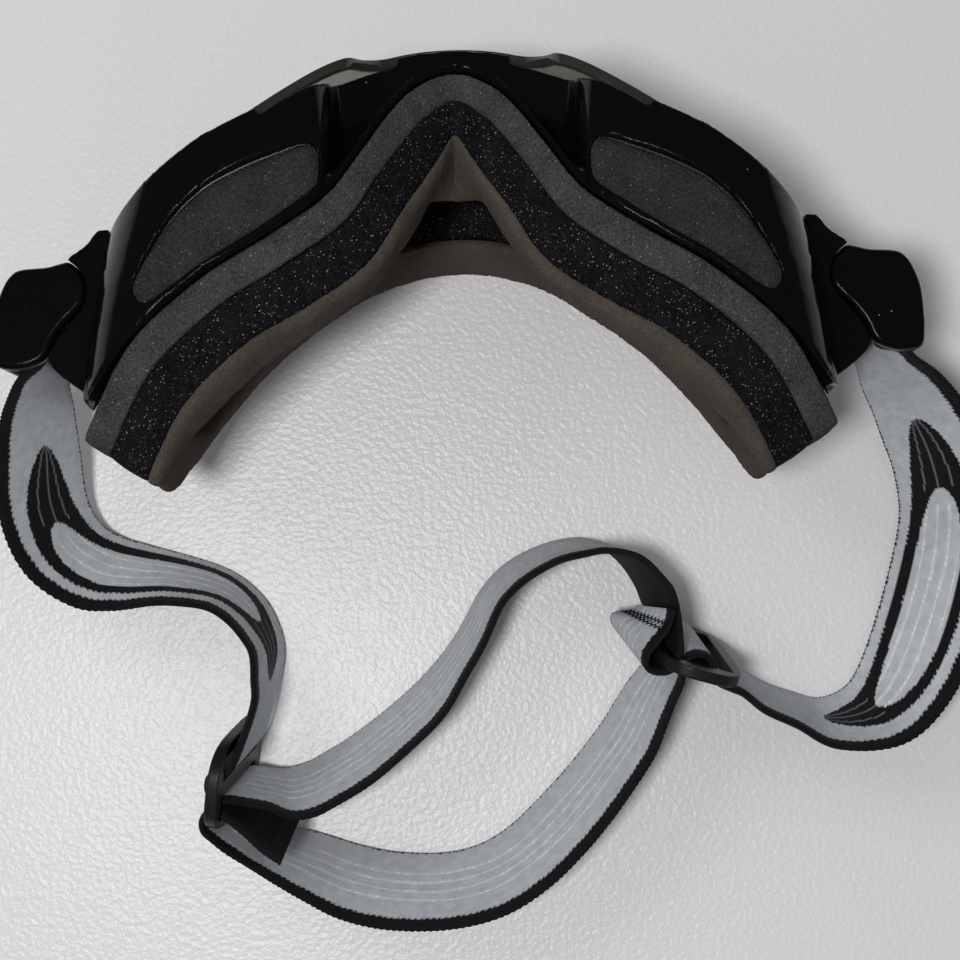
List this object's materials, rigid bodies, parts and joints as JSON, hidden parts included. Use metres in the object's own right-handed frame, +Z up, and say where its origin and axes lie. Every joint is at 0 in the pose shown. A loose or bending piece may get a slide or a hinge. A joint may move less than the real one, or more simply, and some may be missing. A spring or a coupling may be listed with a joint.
{
  "type": "motorcycle goggles",
  "caption": "Motorcycle goggles lying brow-down: glossy wrap-around frame, clear lens, vented brow and cheeks, layered face foam, hinged outriggers and an elastic strap with sliders.",
  "frame": {"origin": "middle of the flat brow rest, on the plane the goggles lie on and on the frame's plane of symmetry", "axes": "+Y out through the lens, +Z up from the brow to the cheeks as the goggles lie, X across the frame; the wearer's face is on the -Y side"},
  "size_m": [0.2248, 0.1903, 0.0783],
  "materials": {
    "frame_plastic": "very glossy black moulded plastic",
    "lens_clear": "clear polished sheet",
    "foam_grey": "open-cell foam, dark grey",
    "foam_black": "open-cell foam, black",
    "fleece": "brushed fleece, taupe",
    "webbing": "elastic webbing, light grey inside with black edges",
    "webbing_black": "elastic webbing, black outer face",
    "slider_plastic": "fine matte black",
    "pin_steel": "bright pin"
  },
  "bodies": {
    "frame": {"frame_shell": "frame_plastic", "lens": "lens_clear", "face_foam_base": "foam_grey", "face_foam_core": "foam_black", "face_fleece": "fleece", "vent_foam_cheek_left": "foam_grey", "vent_foam_cheek_right": "foam_grey", "vent_foam_brow_left": "foam_grey", "vent_foam_brow_right": "foam_grey"},
    "outrigger_left": {"outrigger_left": "frame_plastic", "outrigger_pin_left": "pin_steel", "strap_anchor_left": "webbing"},
    "outrigger_right": {"outrigger_right": "frame_plastic", "outrigger_pin_right": "pin_steel", "strap_anchor_right": "webbing"},
    "strap": {"strap_front_left": "webbing", "strap_front_right": "webbing", "strap_back_left": "webbing", "strap_back_right": "webbing"},
    "slider_left": {"slider_left": "slider_plastic", "strap_fold_left": "webbing", "strap_end_left": "webbing_black"},
    "slider_right": {"slider_right": "slider_plastic", "strap_fold_right": "webbing", "strap_end_right": "webbing_black"}
  },
  "joints": [
    {"name": "outrigger_left_hinge", "type": "hinge", "parent": "frame", "child": "outrigger_left", "pos_m": [-0.085, -0.0395, 0.04], "axis": [0, 0, -1], "range_deg": [0, 20]},
    {"name": "outrigger_right_hinge", "type": "hinge", "parent": "frame", "child": "outrigger_right", "pos_m": [0.085, -0.0395, 0.04], "axis": [0, 0, 1], "range_deg": [0, 20]},
    {"name": "strap_stretch", "type": "slide", "parent": "frame", "child": "strap", "axis": [0, -1, 0], "range_m": [0, 0.03], "stiffness_N_per_m": 60},
    {"name": "slider_left_slide", "type": "slide", "parent": "strap", "child": "slider_left", "axis": [0.1505, 0.9886, 0], "range_m": [0, 0.01]},
    {"name": "slider_right_slide", "type": "slide", "parent": "strap", "child": "slider_right", "axis": [0.9631, -0.2693, 0], "range_m": [0, 0.01]}
  ]
}
